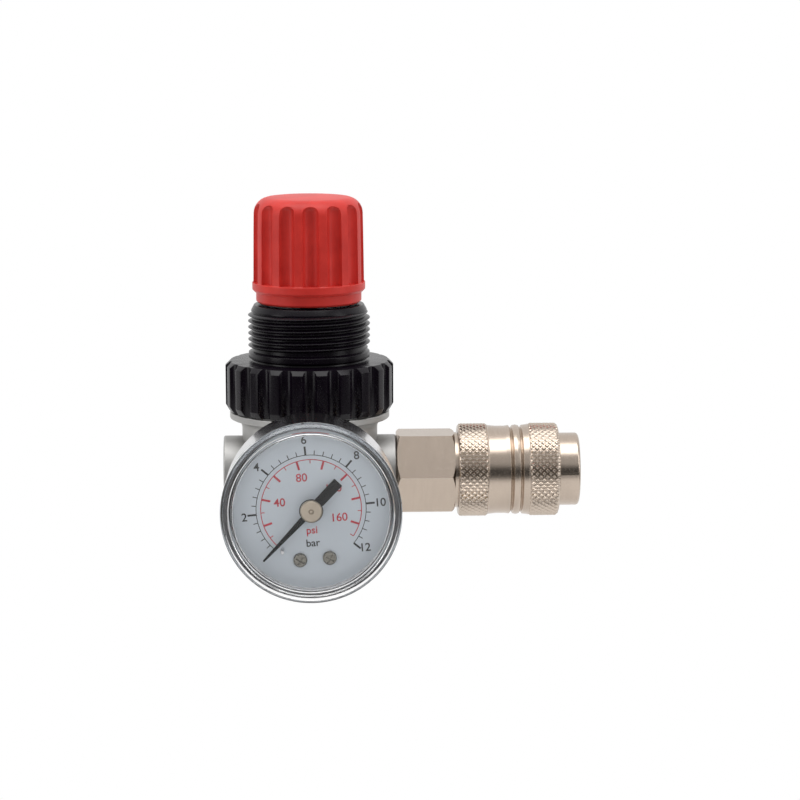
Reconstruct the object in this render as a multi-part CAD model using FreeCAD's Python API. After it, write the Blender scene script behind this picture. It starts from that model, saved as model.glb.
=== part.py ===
import FreeCAD, Part

import math
import os

# Air pressure regulator with a rear-entry dial gauge and a quick coupler.
# Millimetres. The part is drawn about the point where the regulator axis (+Z)
# crosses the port axis (+X); save() then moves the inlet mouth to the origin.
# The gauge faces -Y.

V = FreeCAD.Vector
os.makedirs("parts", exist_ok=True)

# Overall sizes
port_reach = 21.3            # regulator axis to the face of each port
port_boss_r = 9.0
waist_r = 16.7               # round body between the bosses and the flange
flange_r = 19.7
flange_top = 15.5
flange_height = 1.7
body_bottom = -20.0
bonnet_r = 20.7              # fluted ring of the bonnet
bonnet_bottom = 15.8
bonnet_ring_top = 28.0
neck_thread_r = 15.0         # M30 x 1.5
neck_pitch = 1.5
neck_top = 41.9
knob_r = 13.5
knob_flange_r = 13.9
knob_collar_r = 12.95
knob_bottom = 42.4
knob_flange_low = 45.1
knob_ledge = 47.4
knob_top = 68.4
gauge_front = -55.0
gauge_back = -34.0
gauge_case_r = 20.5
gauge_rim_r = 21.0
gauge_roll = 4.0             # the gauge stops short of upright when screwed tight
coupler_port = 21.3          # port reach that the coupler's own positions assume
hex_flats = 19.0
hex_start = 21.4
hex_end = 35.7
sleeve_r = 11.5
sleeve_start = 36.6
sleeve_end = 61.5
nose_r = 9.0
nose_end = 66.6

# Counts and travels
knob_flutes = 14
ring_flutes = 22
screw_pitch = 1.25           # left-hand adjusting thread
knob_turns = 3.75
knob_lift = 2.4
valve_travel = 1.0
sleeve_travel = 4.0
poppet_travel = 3.0
pinion_teeth = 10
sector_teeth = 80            # teeth a full circle of the sector would have
gear_module = 0.2

# Clearances
slide_gap = 0.05             # radial, running fits
seat_gap = 0.03              # radial, pieces that stay put
face_gap = 0.05              # axial, between faces that move apart

# Ports and bores
port_minor_r = 5.72          # crests of the G1/4 internal thread
port_major_r = 6.58
port_depth = 12.0
gauge_thread_r = 4.86        # G1/8
gauge_boss_reach = 24.0
web_half = 1.5
orifice_r = 2.5
valve_bore_r = 7.0
outlet_bore_r = 4.5
passage_r = 2.2
passage_z = web_half + passage_r + 0.2
piston_bore_r = 14.5
piston_floor = 11.5
spigot_r = 18.5
spigot_top = 22.0


def outline(corners):
    """Flat face through corners (u, v) or (u, v, radius of the rounded corner)."""
    points = []
    for i, corner in enumerate(corners):
        p = V(corner[0], corner[1], 0)
        if len(corner) == 2:
            points.append((p, p, None))
            continue
        back = V(*corners[i - 1][:2], 0) - p
        ahead = V(*corners[(i + 1) % len(corners)][:2], 0) - p
        back.normalize()
        ahead.normalize()
        half = math.acos(max(-1.0, min(1.0, back.dot(ahead)))) / 2
        reach = corner[2] / math.tan(half)
        middle = back + ahead
        middle.normalize()
        nearest = p + middle * (corner[2] / math.sin(half) - corner[2])
        points.append((p + back * reach, p + ahead * reach, nearest))
    edges = []
    for i, (start, end, through) in enumerate(points):
        following = points[(i + 1) % len(points)][0]
        if through is not None:
            edges.append(Part.Arc(start, through, end).toShape())
        if (following - end).Length > 1e-6:
            edges.append(Part.makeLine(end, following))
    return Part.Face(Part.Wire(edges))


def aimed(shape, axis):
    """Turn a shape made about +Y so that its axis points along x, y or z."""
    if axis == "z":
        shape.rotate(V(0, 0, 0), V(1, 0, 0), 90)
    elif axis == "x":
        shape.rotate(V(0, 0, 0), V(0, 0, 1), -90)
    return shape


def turned(corners, axis="z"):
    """Solid of revolution from (radius, position along the axis) corners."""
    return aimed(outline(corners).revolve(V(0, 0, 0), V(0, 1, 0), 360), axis)


def rod(radius, start, end, axis="z", at=(0, 0)):
    """Cylinder between two positions; at gives the other two coordinates in order."""
    low, high = min(start, end), max(start, end)
    base = {"x": V(low, *at), "y": V(at[0], low, at[1]), "z": V(*at, low)}[axis]
    way = {"x": V(1, 0, 0), "y": V(0, 1, 0), "z": V(0, 0, 1)}[axis]
    return Part.makeCylinder(radius, high - low, base, way)


def tube(outer, inner, start, end, axis="z", at=(0, 0)):
    return rod(outer, start, end, axis, at).cut(rod(inner, start, end, axis, at))


def hexagon(across_flats, start, end, axis, turn=0.0, trim=None):
    """Hexagonal bar; trim gives the radius its end corners are chamfered from."""
    across_corners = across_flats / math.sqrt(3)
    corners = [
        (across_corners * math.cos(math.radians(60 * i + turn)),
         across_corners * math.sin(math.radians(60 * i + turn)))
        for i in range(6)
    ]
    low, high = min(start, end), max(start, end)
    bar = outline(corners).extrude(V(0, 0, high - low))
    bar.translate(V(0, 0, low))
    bar.rotate(V(0, 0, 0), V(1, 0, 0), -90)
    if trim:
        slope = (across_corners - trim) * math.tan(math.radians(30))
        wide = across_corners + 0.5
        bar = bar.common(turned([
            (0, low), (trim, low), (across_corners, low + slope), (wide, low + slope),
            (wide, high - slope), (across_corners, high - slope), (trim, high), (0, high),
        ], "y"))
    return aimed(bar, axis)


def around(shape, count, axis="z", start=0.0):
    """Copies of a shape spaced evenly about an axis."""
    way = {"x": V(1, 0, 0), "y": V(0, 1, 0), "z": V(0, 0, 1)}[axis]
    copies = []
    for i in range(count):
        copy = shape.copy()
        copy.rotate(V(0, 0, 0), way, start + 360.0 * i / count)
        copies.append(copy)
    return copies


def coil(middle_r, wire_r, low, high, turns, axis="z"):
    """Round-wire compression spring between two seats."""
    rise = high - low - 2 * wire_r
    helix = Part.makeHelix(rise / turns, rise, middle_r)
    section = Part.Wire(Part.makeCircle(wire_r, V(middle_r, 0, 0), V(0, 1, 0)))
    spring = Part.Wire(helix.Edges).makePipeShell([section], True, True)
    spring.translate(V(0, 0, low + wire_r))
    if axis == "x":
        spring.rotate(V(0, 0, 0), V(0, 1, 0), 90)
    return spring


def plate(corners, back, front, holes=()):
    """Flat piece in the XZ plane between two Y positions, with (x, z, radius) holes."""
    flat = outline(corners).extrude(V(0, 0, back - front))
    flat.rotate(V(0, 0, 0), V(1, 0, 0), 90)
    flat.translate(V(0, back, 0))
    for x, z, radius in holes:
        flat = flat.cut(rod(radius, front - 1, back + 1, "y", (x, z)))
    return flat


def gear_face(teeth, module, backlash, first, last):
    """Involute outline of teeth first..last-1, closed through the centre unless full."""
    pitch_r = teeth * module / 2
    base_r = pitch_r * math.cos(math.radians(20))
    tip_r = pitch_r + 0.9 * module
    root_r = pitch_r - 1.25 * module
    flank = math.tan(math.radians(20)) - math.radians(20)
    half = math.pi / (2 * teeth) - backlash / (2 * pitch_r)
    points = []
    for i in range(first, last):
        middle = 2 * math.pi * i / teeth
        side = []
        for step in range(5):
            r = max(base_r, root_r) + (tip_r - max(base_r, root_r)) * step / 4
            roll = math.acos(min(1.0, base_r / r))
            side.append((r, half + flank - (math.tan(roll) - roll)))
        side.insert(0, (root_r, side[0][1]))
        for r, angle in side:
            points.append((r * math.cos(middle - angle), r * math.sin(middle - angle)))
        for r, angle in reversed(side):
            points.append((r * math.cos(middle + angle), r * math.sin(middle + angle)))
    if last - first < teeth:
        points.append((0.0, 0.0))
    return points


def save(name, shape):
    if isinstance(shape, (list, tuple)):
        shape = Part.makeCompound(list(shape))
    if len(shape.Solids) == 1:
        shape = shape.Solids[0]
    assert shape.Solids and all(s.isValid() and s.Volume > 0 for s in shape.Solids), name
    shape = shape.copy()
    shape.translate(V(port_reach, 0, 0))
    shape.exportStep("parts/" + name + ".step")


def save_gauge(name, shape):
    """Gauge pieces share the roll of the gauge about its own axis."""
    if isinstance(shape, (list, tuple)):
        shape = Part.makeCompound(list(shape))
    shape = shape.copy()
    shape.rotate(V(0, 0, 0), V(0, -1, 0), gauge_roll)
    save(name, shape)


def save_coupler(name, shape):
    """The coupler is drawn for a port reach of coupler_port and moves with the port."""
    if isinstance(shape, (list, tuple)):
        shape = Part.makeCompound(list(shape))
    shape = shape.copy()
    shape.translate(V(port_reach - coupler_port, 0, 0))
    save(name, shape)


# ---------------------------------------------------------------- body casting
flange_low = flange_top - flange_height
neck_fillet = flange_r - waist_r - 0.4
body = turned([
    (0, body_bottom), (waist_r, body_bottom, 2.5), (waist_r, flange_low, neck_fillet),
    (flange_r, flange_low, 0.3), (flange_r, flange_top, 0.3), (spigot_r, flange_top),
    (spigot_r, spigot_top, 0.4), (0, spigot_top),
])
boss = rod(port_boss_r, -port_reach, port_reach, "x")
boss = boss.common(turned([(0, -port_reach), (port_boss_r, -port_reach, 0.5),
                           (port_boss_r, port_reach, 0.5), (0, port_reach)], "x"))
side_boss = turned([(0, -gauge_boss_reach), (port_boss_r, -gauge_boss_reach, 0.5),
                    (port_boss_r, port_reach, 0.5), (0, port_reach)], "y")
body = body.fuse([boss, side_boss])
body = body.cut(turned([(0, piston_floor), (piston_bore_r, piston_floor, 0.8),
                        (piston_bore_r, spigot_top - 0.6), (piston_bore_r + 0.6, spigot_top),
                        (0, spigot_top)]))
body = body.cut(rod(outlet_bore_r, web_half, piston_floor + 1))
body = body.cut(rod(orifice_r, -web_half - 1, web_half + 1))
body = body.cut(rod(valve_bore_r, body_bottom, -web_half))
plug_thread_r = 8.0
plug_thread_top = -12.0
body = body.cut(rod(plug_thread_r, body_bottom, plug_thread_top))
for side, z, wall_r in ((-1, -passage_z, port_minor_r), (1, passage_z, port_major_r)):
    body = body.cut(rod(wall_r, side * (port_reach - port_depth), side * port_reach, "x"))
    body = body.cut(rod(passage_r, 0, side * (port_reach - port_depth + 1), "x", (0, z)))
gauge_bore_end = -gauge_boss_reach + 11.0
gauge_passage_r = 1.4
gauge_passage_z = web_half + gauge_passage_r + 0.3
rear_bore_end = port_reach - 9.0
body = body.cut(rod(gauge_thread_r + seat_gap, -gauge_boss_reach, gauge_bore_end, "y"))
body = body.cut(rod(gauge_passage_r, gauge_bore_end - 1, 0, "y", (0, gauge_passage_z)))
body = body.cut(rod(gauge_thread_r + seat_gap, rear_bore_end, port_reach, "y"))
body = body.cut(rod(gauge_passage_r, 0, rear_bore_end + 1, "y", (0, gauge_passage_z)))
save("body_casting", body)

# ------------------------------------------------------------- plugs and seals
plug_head_r = 9.5
plug_head_low = body_bottom - 3.5
bottom_plug = turned([
    (0, plug_head_low), (plug_head_r, plug_head_low, 0.6), (plug_head_r, body_bottom - 1.2),
    (plug_thread_r - 1.2, body_bottom - 1.2), (plug_thread_r - 1.2, body_bottom + 0.8),
    (plug_thread_r - seat_gap, body_bottom + 1.4), (plug_thread_r - seat_gap, plug_thread_top),
    (4.6, plug_thread_top), (4.6, plug_thread_top - 4.0), (0, plug_thread_top - 4.0),
])
bottom_plug = bottom_plug.cut(hexagon(8.0, plug_head_low, plug_head_low + 3.0, "z"))
save("bottom_plug", bottom_plug)
save("bottom_plug_seal", turned([
    (plug_thread_r - 1.2, body_bottom - 1.2, 0.4), (plug_head_r - 0.6, body_bottom - 1.2, 0.4),
    (plug_head_r - 0.6, body_bottom, 0.4), (plug_thread_r - 1.2, body_bottom, 0.4),
]))
rear_head = port_reach + 3.0
rear_plug = turned([
    (0, rear_bore_end + 1.0), (gauge_thread_r - 0.5, rear_bore_end + 1.0),
    (gauge_thread_r, rear_bore_end + 1.5), (gauge_thread_r, port_reach + 1.0),
    (7.0, port_reach + 1.0), (7.0, rear_head, 0.5), (0, rear_head),
], "y").cut(hexagon(5.0, port_reach - 1.0, rear_head, "y"))
save("rear_port_plug", rear_plug)
save("rear_plug_seal", turned([
    (gauge_thread_r, port_reach, 0.3), (6.8, port_reach, 0.3),
    (6.8, port_reach + 1.0, 0.3), (gauge_thread_r, port_reach + 1.0, 0.3),
], "y"))

# ---------------------------------------------------------------------- bonnet
skirt_bore_r = spigot_r + seat_gap
shoulder_z = spigot_top
spring_bore_r = 11.2
top_wall = 2.0
screw_hole_r = 5.6
thread_depth = 0.92
thread_low = 31.18
thread_high = neck_top - 1.7
neck_root_r = neck_thread_r - thread_depth
neck = [(neck_root_r, bonnet_ring_top), (neck_root_r, 28.5), (neck_thread_r, 28.9),
        (neck_thread_r, 30.2), (neck_root_r, 30.6), (neck_root_r, thread_low)]
rings = int((thread_high - thread_low) / neck_pitch)
for i in range(rings):
    z = thread_low + i * neck_pitch
    neck += [(neck_thread_r, z + 0.53), (neck_thread_r, z + 0.72), (neck_root_r, z + 1.25)]
    if i < rings - 1:
        neck.append((neck_root_r, z + neck_pitch))
neck += [(neck_root_r, thread_high), (neck_root_r, neck_top - 0.3, 0.2), (neck_root_r - 0.3, neck_top)]
bonnet = turned([
    (skirt_bore_r, bonnet_bottom), (bonnet_r - 0.9, bonnet_bottom),
    (bonnet_r, bonnet_bottom + 1.5), (bonnet_r, bonnet_ring_top - 1.1),
    (bonnet_r - 1.1, bonnet_ring_top),
] + neck + [
    (screw_hole_r, neck_top), (screw_hole_r, neck_top - top_wall),
    (spring_bore_r, neck_top - top_wall), (spring_bore_r, 26.0), (14.0, 23.5),
    (14.0, shoulder_z), (skirt_bore_r, shoulder_z),
])
flute = turned([(0, bonnet_bottom - 1), (1.7, bonnet_bottom - 1), (1.7, bonnet_ring_top + 1),
                (0, bonnet_ring_top + 1)])
flute.translate(V(0, -(bonnet_r + 0.25), 0))
bonnet = bonnet.cut(around(flute, ring_flutes))
key = Part.makeBox(2.6, 1.6, 13.0, V(-1.3, spring_bore_r - 1.2, neck_top - top_wall - 13.0))
bonnet = bonnet.fuse(around(key, 2))
save("bonnet", bonnet)

# ------------------------------------------------- knob, adjusting screw and nut
washer_top = neck_top - top_wall
collar_top = washer_top - 1.0
collar_low = collar_top - 1.7
save("thrust_washer", tube(8.5, screw_hole_r, collar_top, washer_top))
screw_r = 4.0
screw_low = 25.0
drive_flats = 8.0
drive_top = 62.0
snap_low = 59.4
screw = turned([
    (0, screw_low), (screw_r - 0.7, screw_low), (screw_r, screw_low + 0.7), (screw_r, collar_low),
    (8.0, collar_low), (8.0, collar_top - face_gap), (screw_hole_r - 0.1, collar_top - face_gap),
    (screw_hole_r - 0.1, neck_top), (4.55, neck_top), (4.55, drive_top, 0.5), (0, drive_top),
])
flats = hexagon(drive_flats, neck_top, drive_top + 1, "z")
blank = tube(6.0, 0.5, neck_top, snap_low - 1.0).cut(flats)
screw = screw.cut(blank)
screw = screw.cut(tube(5.0, 3.8, snap_low, snap_low + 1.2))
save("adjusting_screw", screw)
save("snap_ring", turned([(3.8, snap_low + 0.1, 0.4), (4.75, snap_low + 0.1, 0.4),
                          (4.75, snap_low + 1.1, 0.4), (3.8, snap_low + 1.1, 0.4)])
     .cut(Part.makeBox(3, 1.2, 2, V(3.2, -0.6, snap_low))))

knob = turned([
    (0, knob_bottom), (knob_collar_r - 0.5, knob_bottom), (knob_collar_r, knob_bottom + 0.5),
    (knob_collar_r, knob_flange_low), (knob_flange_r - 0.5, knob_flange_low),
    (knob_flange_r, knob_flange_low + 0.5), (knob_flange_r, knob_ledge, 0.25),
    (knob_r + 0.15, knob_ledge + 0.3), (knob_r, knob_top - 0.3, 3.9), (0, knob_top),
])
flute = turned([(0, knob_ledge), (2.05, knob_ledge), (2.05, 66.0, 1.0), (0, 67.8)])
flute.translate(V(0, -(knob_r + 0.3), 0))
knob = knob.cut(around(flute, knob_flutes, start=2.3))
cavity_r = 10.8
hub_r = 7.0
hub_low = neck_top + 0.9
knob = knob.cut(turned([(hub_r, knob_bottom), (cavity_r, knob_bottom), (cavity_r, 65.5, 1.0),
                        (hub_r, 65.5, 1.0)]))
knob = knob.cut(rod(hub_r, knob_bottom, hub_low))
knob = knob.cut(hexagon(drive_flats + 2 * slide_gap, hub_low, 57.0, "z"))
hub_bore_r = 4.8
knob = knob.cut(rod(hub_bore_r, 55.0, 65.2))
for z in (snap_low, snap_low - knob_lift):
    knob = knob.cut(turned([(hub_bore_r - 0.2, z), (hub_bore_r, z), (hub_bore_r + 0.35, z + 0.6),
                            (hub_bore_r, z + 1.2), (hub_bore_r - 0.2, z + 1.2)]))
for rib in around(Part.makeBox(cavity_r - hub_r + 0.6, 1.2, 12.0,
                               V(hub_r - 0.3, -0.6, 53.5)), 6):
    knob = knob.fuse(rib)
save("knob", knob)

nut_low = 32.0
nut_high = collar_low - 0.4
nut = turned([(screw_r + slide_gap, nut_low), (8.0, nut_low), (8.0, nut_low + 1.6),
              (spring_bore_r - 0.3, nut_low + 1.6), (spring_bore_r - 0.3, nut_high, 0.4),
              (screw_r + slide_gap, nut_high)])
nut = nut.cut(around(Part.makeBox(3.2, 3.0, 8.0, V(-1.6, spring_bore_r - 1.5, nut_low)), 2))
save("adjusting_nut", nut)

# ---------------------------------------------------------------- piston, valve
piston_low = 14.5
piston_top = 20.6
seat_z = 18.6
piston_r = piston_bore_r - slide_gap
stem_tip = 15.6
piston = turned([
    (0.7, piston_low), (piston_r - 0.4, piston_low), (piston_r, piston_low + 0.4),
    (piston_r, 16.4), (piston_r - 1.4, 16.4), (piston_r - 1.4, 18.6), (piston_r, 18.6),
    (piston_r, piston_top, 0.4), (11.2, piston_top), (11.0, seat_z), (6.6, seat_z),
    (6.2, piston_top, 0.4), (0.7, piston_top),
])
stem_r = 1.2
piston = piston.cut(rod(stem_r + slide_gap, piston_low, stem_tip))
save("piston", piston)
save("piston_seal", turned([
    (piston_r - 1.4, 16.4, 0.3), (piston_bore_r - 0.02, 16.4, 0.9),
    (piston_bore_r - 0.02, 18.6, 0.9), (piston_r - 1.4, 18.6, 0.3),
]))
disc_top = -web_half - face_gap
disc_low = disc_top - 1.4
poppet_r = 5.4
valve = turned([
    (0, -9.0), (3.0, -9.0), (3.0, -5.2), (poppet_r, -5.2), (poppet_r, disc_low),
    (stem_r, disc_low), (stem_r, stem_tip - 0.6), (0.75, stem_tip), (0, stem_tip),
])
save("valve_poppet", valve)
save("valve_seal", tube(poppet_r - 0.2, stem_r, disc_low, disc_top))
save("valve_spring", coil(3.8, 0.45, plug_thread_top - 4.0, -5.2, 4.5))
save("regulating_spring", coil(9.0, 1.0, seat_z, nut_low, 3.5))

# ------------------------------------------------------------------- the gauge
wall = 0.8
back_inner = gauge_back - wall
case_front = gauge_front + 4.4
case = turned([
    (8.2, gauge_back), (gauge_case_r, gauge_back, 1.5), (gauge_case_r, case_front),
    (gauge_case_r - wall, case_front), (gauge_case_r - wall, back_inner, 0.8),
    (8.2, back_inner),
], "y")
case_screw_at = [(10.0, 0.0), (-10.0, 0.0)]
for x, z in case_screw_at:
    case = case.cut(rod(1.2, gauge_back + 1, back_inner - 1, "y", (x, z)))
save_gauge("gauge_case", case)
tube_r = 14.3
tube_front = -42.6
tube_back = -37.8
# Bourdon tube: flattened tube bent to a C, open end in the socket arm.
bend = outline([(tube_r - 0.75, tube_front, 0.7), (tube_r + 0.75, tube_front, 0.7),
                (tube_r + 0.75, tube_back, 0.7), (tube_r - 0.75, tube_back, 0.7)])
bend = bend.revolve(V(0, 0, 0), V(0, -1, 0), 272)
bend.rotate(V(0, 0, 0), V(0, -1, 0), -86.0)
tip_angle = math.radians(-86.0 + 272.0)
tip = (tube_r * math.cos(tip_angle), tube_r * math.sin(tip_angle))
tip_block = Part.makeBox(2.2, 3.0, 2.4, V(tip[0] - 0.9, -41.7, tip[1] - 2.0))
save_gauge("bourdon_tube", bend.fuse(tip_block))

socket_hex_end = -gauge_boss_reach - 2.0
flange_inner = back_inner - 1.6
socket = hexagon(14.0, socket_hex_end, flange_inner + 0.3, "y", trim=7.3)
socket = socket.fuse([
    turned([(0, gauge_bore_end - 0.8), (gauge_thread_r - 0.8, gauge_bore_end - 0.8),
            (gauge_thread_r, gauge_bore_end - 1.6), (gauge_thread_r, socket_hex_end - 1.0),
            (0, socket_hex_end - 1.0)], "y"),
    rod(11.8, back_inner, flange_inner, "y"),
])
socket = socket.cut(rod(1.5, gauge_bore_end, flange_inner + 0.6, "y"))
for x, z in case_screw_at:
    socket = socket.cut(rod(1.0, gauge_back, flange_inner - 2, "y", (x, z)))
# The arm carries the fixed end of the Bourdon tube.
arm_end = Part.makeBox(5.0, back_inner - tube_front, 2.6, V(-2.5, tube_front, -16.6))
arm_foot = Part.makeBox(5.0, back_inner - flange_inner + 0.4, 12.0,
                        V(-2.5, flange_inner - 0.4, -15.0))
socket = socket.fuse([arm_end, arm_foot]).removeSplitter().cut(bend)
save_gauge("gauge_socket", socket)
case_screws = []
for x, z in case_screw_at:
    screw_piece = turned([(0, gauge_back + 1.2), (1.9, gauge_back + 1.2, 0.4), (1.9, gauge_back),
                          (0.9, gauge_back), (0.9, flange_inner + 0.1),
                          (0, flange_inner + 0.1)], "y")
    slot = Part.makeBox(4.4, 0.7, 0.5, V(-2.2, gauge_back + 0.6, -0.25))
    screw_piece = screw_piece.cut(slot)
    screw_piece.translate(V(x, 0, z))
    case_screws.append(screw_piece)
save_gauge("case_screws", case_screws)

# Window: one clear moulding with stepped rim that plugs into the case.
window_skirt_r = gauge_case_r - wall - seat_gap
rim_back = case_front - 0.3
window = turned([
    (0, gauge_front + 1.2), (18.2, gauge_front + 1.2, 0.3), (18.9, gauge_front, 0.3),
    (gauge_rim_r - 0.5, gauge_front, 0.4), (gauge_rim_r, gauge_front + 0.9, 0.3),
    (gauge_rim_r, rim_back), (window_skirt_r, rim_back), (window_skirt_r, rim_back + 2.4),
    (window_skirt_r - 0.9, rim_back + 2.4), (window_skirt_r - 0.9, gauge_front + 3.0, 0.4),
    (0, gauge_front + 3.0),
], "y")
notch = turned([(gauge_rim_r - 0.7, rim_back - 1.2), (gauge_rim_r + 1, rim_back - 1.2),
                (gauge_rim_r + 1, rim_back + 0.01), (gauge_rim_r - 0.7, rim_back + 0.01)], "y")
for angle in (19.0, 200.0):
    wedge = plate([(0, 0), (30, 0), (30, 30 * math.tan(math.radians(16)))],
                  rim_back + 1, rim_back - 2)
    wedge.rotate(V(0, 0, 0), V(0, -1, 0), angle - 8.0)
    window = window.cut(notch.common(wedge))
save_gauge("gauge_window", window)
save_gauge("window_gasket", tube(gauge_case_r - 0.15, window_skirt_r + seat_gap,
                                 rim_back, case_front, "y"))

dial_front = -47.7
dial_back = dial_front + 0.5
dial_screw_at = [(-3.5, -12.0), (3.5, -12.0)]
dial = rod(19.3, dial_front, dial_back, "y").cut(rod(1.6, dial_front - 1, dial_back + 1, "y"))
stop_at = (-7.45, -9.25)
for x, z, r in [(*dial_screw_at[0], 0.8), (*dial_screw_at[1], 0.8), (*stop_at, 0.45)]:
    dial = dial.cut(rod(r, dial_front - 1, dial_back + 1, "y", (x, z)))
save_gauge("gauge_dial", dial)
dial_screws = []
frame_back = -37.0
rear_plate = (frame_back, frame_back - 0.8)
front_plate = (-43.2, -44.0)
for x, z in dial_screw_at:
    piece = turned([(0, dial_front - 1.1), (1.65, dial_front - 1.1, 0.6), (1.65, dial_front),
                    (0.75, dial_front), (0.75, dial_back + 2.4), (0, dial_back + 2.4)], "y")
    for turn in (35.0, 125.0):
        slot = Part.makeBox(2.2, 0.6, 0.42, V(-1.1, dial_front - 1.15, -0.21))
        slot.rotate(V(0, 0, 0), V(0, 1, 0), turn)
        piece = piece.cut(slot)
    piece.translate(V(x, 0, z))
    dial_screws.append(piece)
save_gauge("dial_screws", dial_screws)
save_gauge("zero_stop_pin", rod(0.43, dial_front - 2.9, dial_back + 0.6, "y", stop_at))

# Movement: two plates, pillars, pinion shaft, toothed sector, hairspring.
pinion_r = pinion_teeth * gear_module / 2
sector_r = sector_teeth * gear_module / 2
sector_at = (0.0, -(pinion_r + sector_r))
plate_shape = [(-5.6, 3.4, 1.5), (5.6, 3.4, 1.5), (5.8, -11.5, 1.8), (3.5, -13.4, 1.0),
               (-3.5, -13.4, 1.0), (-5.8, -11.5, 1.8)]
pillar_at = [(-4.2, 1.9), (4.2, 1.9), (4.3, -10.6)]
shaft_r = 0.45
bearings = [(0, 0, shaft_r + slide_gap), (*sector_at, 0.5 + slide_gap)]
save_gauge("movement_plate_rear", plate(plate_shape, *rear_plate, bearings))
save_gauge("movement_plate_front", plate(
    plate_shape, *front_plate,
    bearings + [(x, z, 0.8) for x, z in dial_screw_at]).fuse([
        tube(1.35, 0.8, front_plate[1], dial_back, "y", at) for at in dial_screw_at]))
save_gauge("movement_pillars", [rod(0.9, rear_plate[1], front_plate[0], "y", at)
                                for at in pillar_at])
pinion_back, pinion_front = -39.6, -41.2
pinion = plate(gear_face(pinion_teeth, gear_module, 0.06, 0, pinion_teeth),
               pinion_back, pinion_front)
pinion.rotate(V(0, 0, 0), V(0, 1, 0), -90.0 + 180.0 / pinion_teeth)
pointer_back = dial_front - 2.0
pinion = pinion.fuse([rod(shaft_r, rear_plate[0] + 0.1, pointer_back - 1.2, "y"),
                      rod(0.7, pinion_front, -43.0, "y")])
save_gauge("pinion_shaft", pinion)
sector_swing = 270.0 * pinion_teeth / sector_teeth
teeth_needed = int(sector_swing / (360.0 / sector_teeth)) + 5
sector = plate(gear_face(sector_teeth, gear_module, 0.06, 0, teeth_needed), -40.0, -40.8)
sector.rotate(V(0, 0, 0), V(0, 1, 0), -90.0 + (teeth_needed - 3) * 360.0 / sector_teeth)
tail = plate([(0.6, 1.1, 0.5), (-4.6, 0.9, 0.5), (-4.6, -0.9, 0.5), (0.6, -1.1, 0.5)],
             -40.0, -40.8, [(-3.8, 0, 0.35)])
sector = sector.fuse([tail, rod(1.3, -39.0, -41.6, "y"),
                      rod(0.5, rear_plate[0] + 0.1, front_plate[1] - 0.1, "y")])
sector.translate(V(sector_at[0], 0, sector_at[1]))
save_gauge("sector_gear", sector)
turns = 3.5
spiral_pitch = 0.65
spiral = []
for side in (0.0, 0.16):
    points = [V((1.25 + side + spiral_pitch * t / 24) * math.cos(2 * math.pi * t / 24), 0,
                (1.25 + side + spiral_pitch * t / 24) * math.sin(2 * math.pi * t / 24))
              for t in range(int(turns * 24) + 1)]
    curve = Part.BSplineCurve()
    curve.interpolate(points)
    spiral.append(curve.toShape())
ends = [Part.makeLine(spiral[0].Vertexes[i].Point, spiral[1].Vertexes[i].Point) for i in (0, 1)]
strip = Part.Face(Part.Wire(Part.__sortEdges__([spiral[0], ends[1], spiral[1], ends[0]])))
strip = strip.extrude(V(0, -0.7, 0))
strip.translate(V(0, -42.0, 0))
outer = 1.25 + 0.08 + spiral_pitch * turns
strip = strip.fuse(Part.makeBox(0.8, 1.2, 0.5, V(-outer - 0.4, -43.2, -0.25)))
save_gauge("hairspring", strip)

link_end = (-3.8, sector_at[1])
link_start = (tip[0] + 0.4, tip[1] - 1.0)
length = math.hypot(link_end[0] - link_start[0], link_end[1] - link_start[1])
link = plate([(-0.7, -0.7, 0.5), (length + 0.7, -0.7, 0.5), (length + 0.7, 0.7, 0.5),
              (-0.7, 0.7, 0.5)], -41.7, -42.1)
link = link.fuse(rod(0.3, -41.4, -42.1, "y", (length, 0)))
link.rotate(V(0, 0, 0), V(0, -1, 0), math.degrees(math.atan2(
    link_end[1] - link_start[1], link_end[0] - link_start[0])))
link.translate(V(link_start[0], 0, link_start[1]))
save_gauge("tube_link", link)

# Pointer at rest against the zero stop, hub cap in front of it.
pointer = plate([(-9.3, -1.25, 0.2), (-3.0, -1.2, 0.6), (2.0, -0.75, 0.4), (16.4, -0.22, 0.1),
                 (16.4, 0.22, 0.1), (2.0, 0.75, 0.4), (-3.0, 1.2, 0.6), (-9.3, 1.25, 0.2)],
                pointer_back, pointer_back - 0.4)
pointer = pointer.fuse(rod(2.1, pointer_back, pointer_back - 0.4, "y")).cut(
    rod(shaft_r + 0.01, pointer_back + 1, pointer_back - 2, "y"))
pointer.rotate(V(0, 0, 0), V(0, -1, 0), 226.7 - gauge_roll)
save_gauge("pointer", pointer)
save_gauge("pointer_hub", turned([
    (shaft_r + 0.01, pointer_back - 0.4), (2.35, pointer_back - 0.4, 0.2),
    (2.1, pointer_back - 1.5, 0.4), (0, pointer_back - 1.7), (0, pointer_back - 1.25),
    (shaft_r + 0.01, pointer_back - 1.25),
], "y"))

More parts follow.
